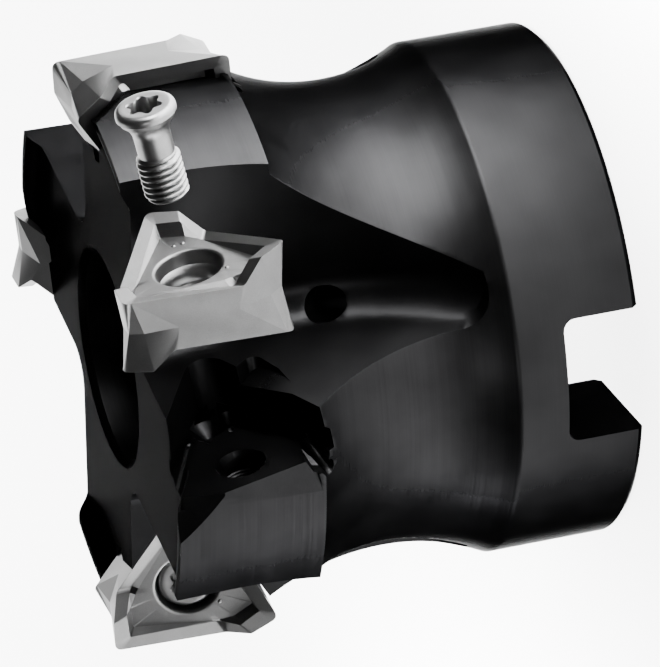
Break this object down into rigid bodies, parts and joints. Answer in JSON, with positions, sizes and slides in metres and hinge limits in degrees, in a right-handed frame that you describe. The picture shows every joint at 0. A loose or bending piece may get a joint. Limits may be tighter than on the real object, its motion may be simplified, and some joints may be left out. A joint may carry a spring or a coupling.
{
  "type": "indexable face mill",
  "caption": "Arbor-mounted shoulder face mill with three-cornered indexable inserts held in tangentially milled pockets by countersunk screws.",
  "frame": {"origin": "centre of the mounting face, where the spindle axis meets the face that sits on the arbor", "axes": "+Z along the spindle axis from the mounting face towards the cutting end; +X through the tooth that is shown opened up; the drive slot runs along X"},
  "size_m": [0.0515, 0.0554, 0.0425],
  "materials": {
    "blackened_steel": "satin black oxide on machined steel",
    "coated_carbide": "fine ground and satin coated carbide",
    "screw_steel": "turned steel, lightly oiled"
  },
  "bodies": {
    "cutter_body": {"cutter_body": "blackened_steel"},
    "insert_1": {"insert_1": "coated_carbide"},
    "insert_2": {"insert_2": "coated_carbide"},
    "insert_3": {"insert_3": "coated_carbide"},
    "insert_4": {"insert_4": "coated_carbide"},
    "insert_screw_1": {"insert_screw_1": "screw_steel"},
    "insert_screw_2": {"insert_screw_2": "screw_steel"},
    "insert_screw_3": {"insert_screw_3": "screw_steel"},
    "insert_screw_4": {"insert_screw_4": "screw_steel"}
  },
  "joints": [
    {"name": "insert_1_lift", "type": "slide", "parent": "cutter_body", "child": "insert_1", "axis": [0.0811, 0.9797, 0.1834], "range_m": [-0.0139, 0]},
    {"name": "insert_2_lift", "type": "slide", "parent": "cutter_body", "child": "insert_2", "axis": [-0.9797, 0.0811, 0.1834], "range_m": [0, 0.0139]},
    {"name": "insert_3_lift", "type": "slide", "parent": "cutter_body", "child": "insert_3", "axis": [-0.0811, -0.9797, 0.1834], "range_m": [0, 0.0139]},
    {"name": "insert_4_lift", "type": "slide", "parent": "cutter_body", "child": "insert_4", "axis": [0.9797, -0.0811, 0.1834], "range_m": [0, 0.0139]},
    {"name": "insert_screw_1_undo", "type": "slide", "parent": "insert_1", "child": "insert_screw_1", "axis": [0.0811, 0.9797, 0.1834], "range_m": [-0.0149, 0]},
    {"name": "insert_screw_2_undo", "type": "slide", "parent": "insert_2", "child": "insert_screw_2", "axis": [-0.9797, 0.0811, 0.1834], "range_m": [0, 0.0149]},
    {"name": "insert_screw_3_undo", "type": "slide", "parent": "insert_3", "child": "insert_screw_3", "axis": [-0.0811, -0.9797, 0.1834], "range_m": [0, 0.0149]},
    {"name": "insert_screw_4_undo", "type": "slide", "parent": "insert_4", "child": "insert_screw_4", "axis": [0.9797, -0.0811, 0.1834], "range_m": [0, 0.0149]}
  ]
}
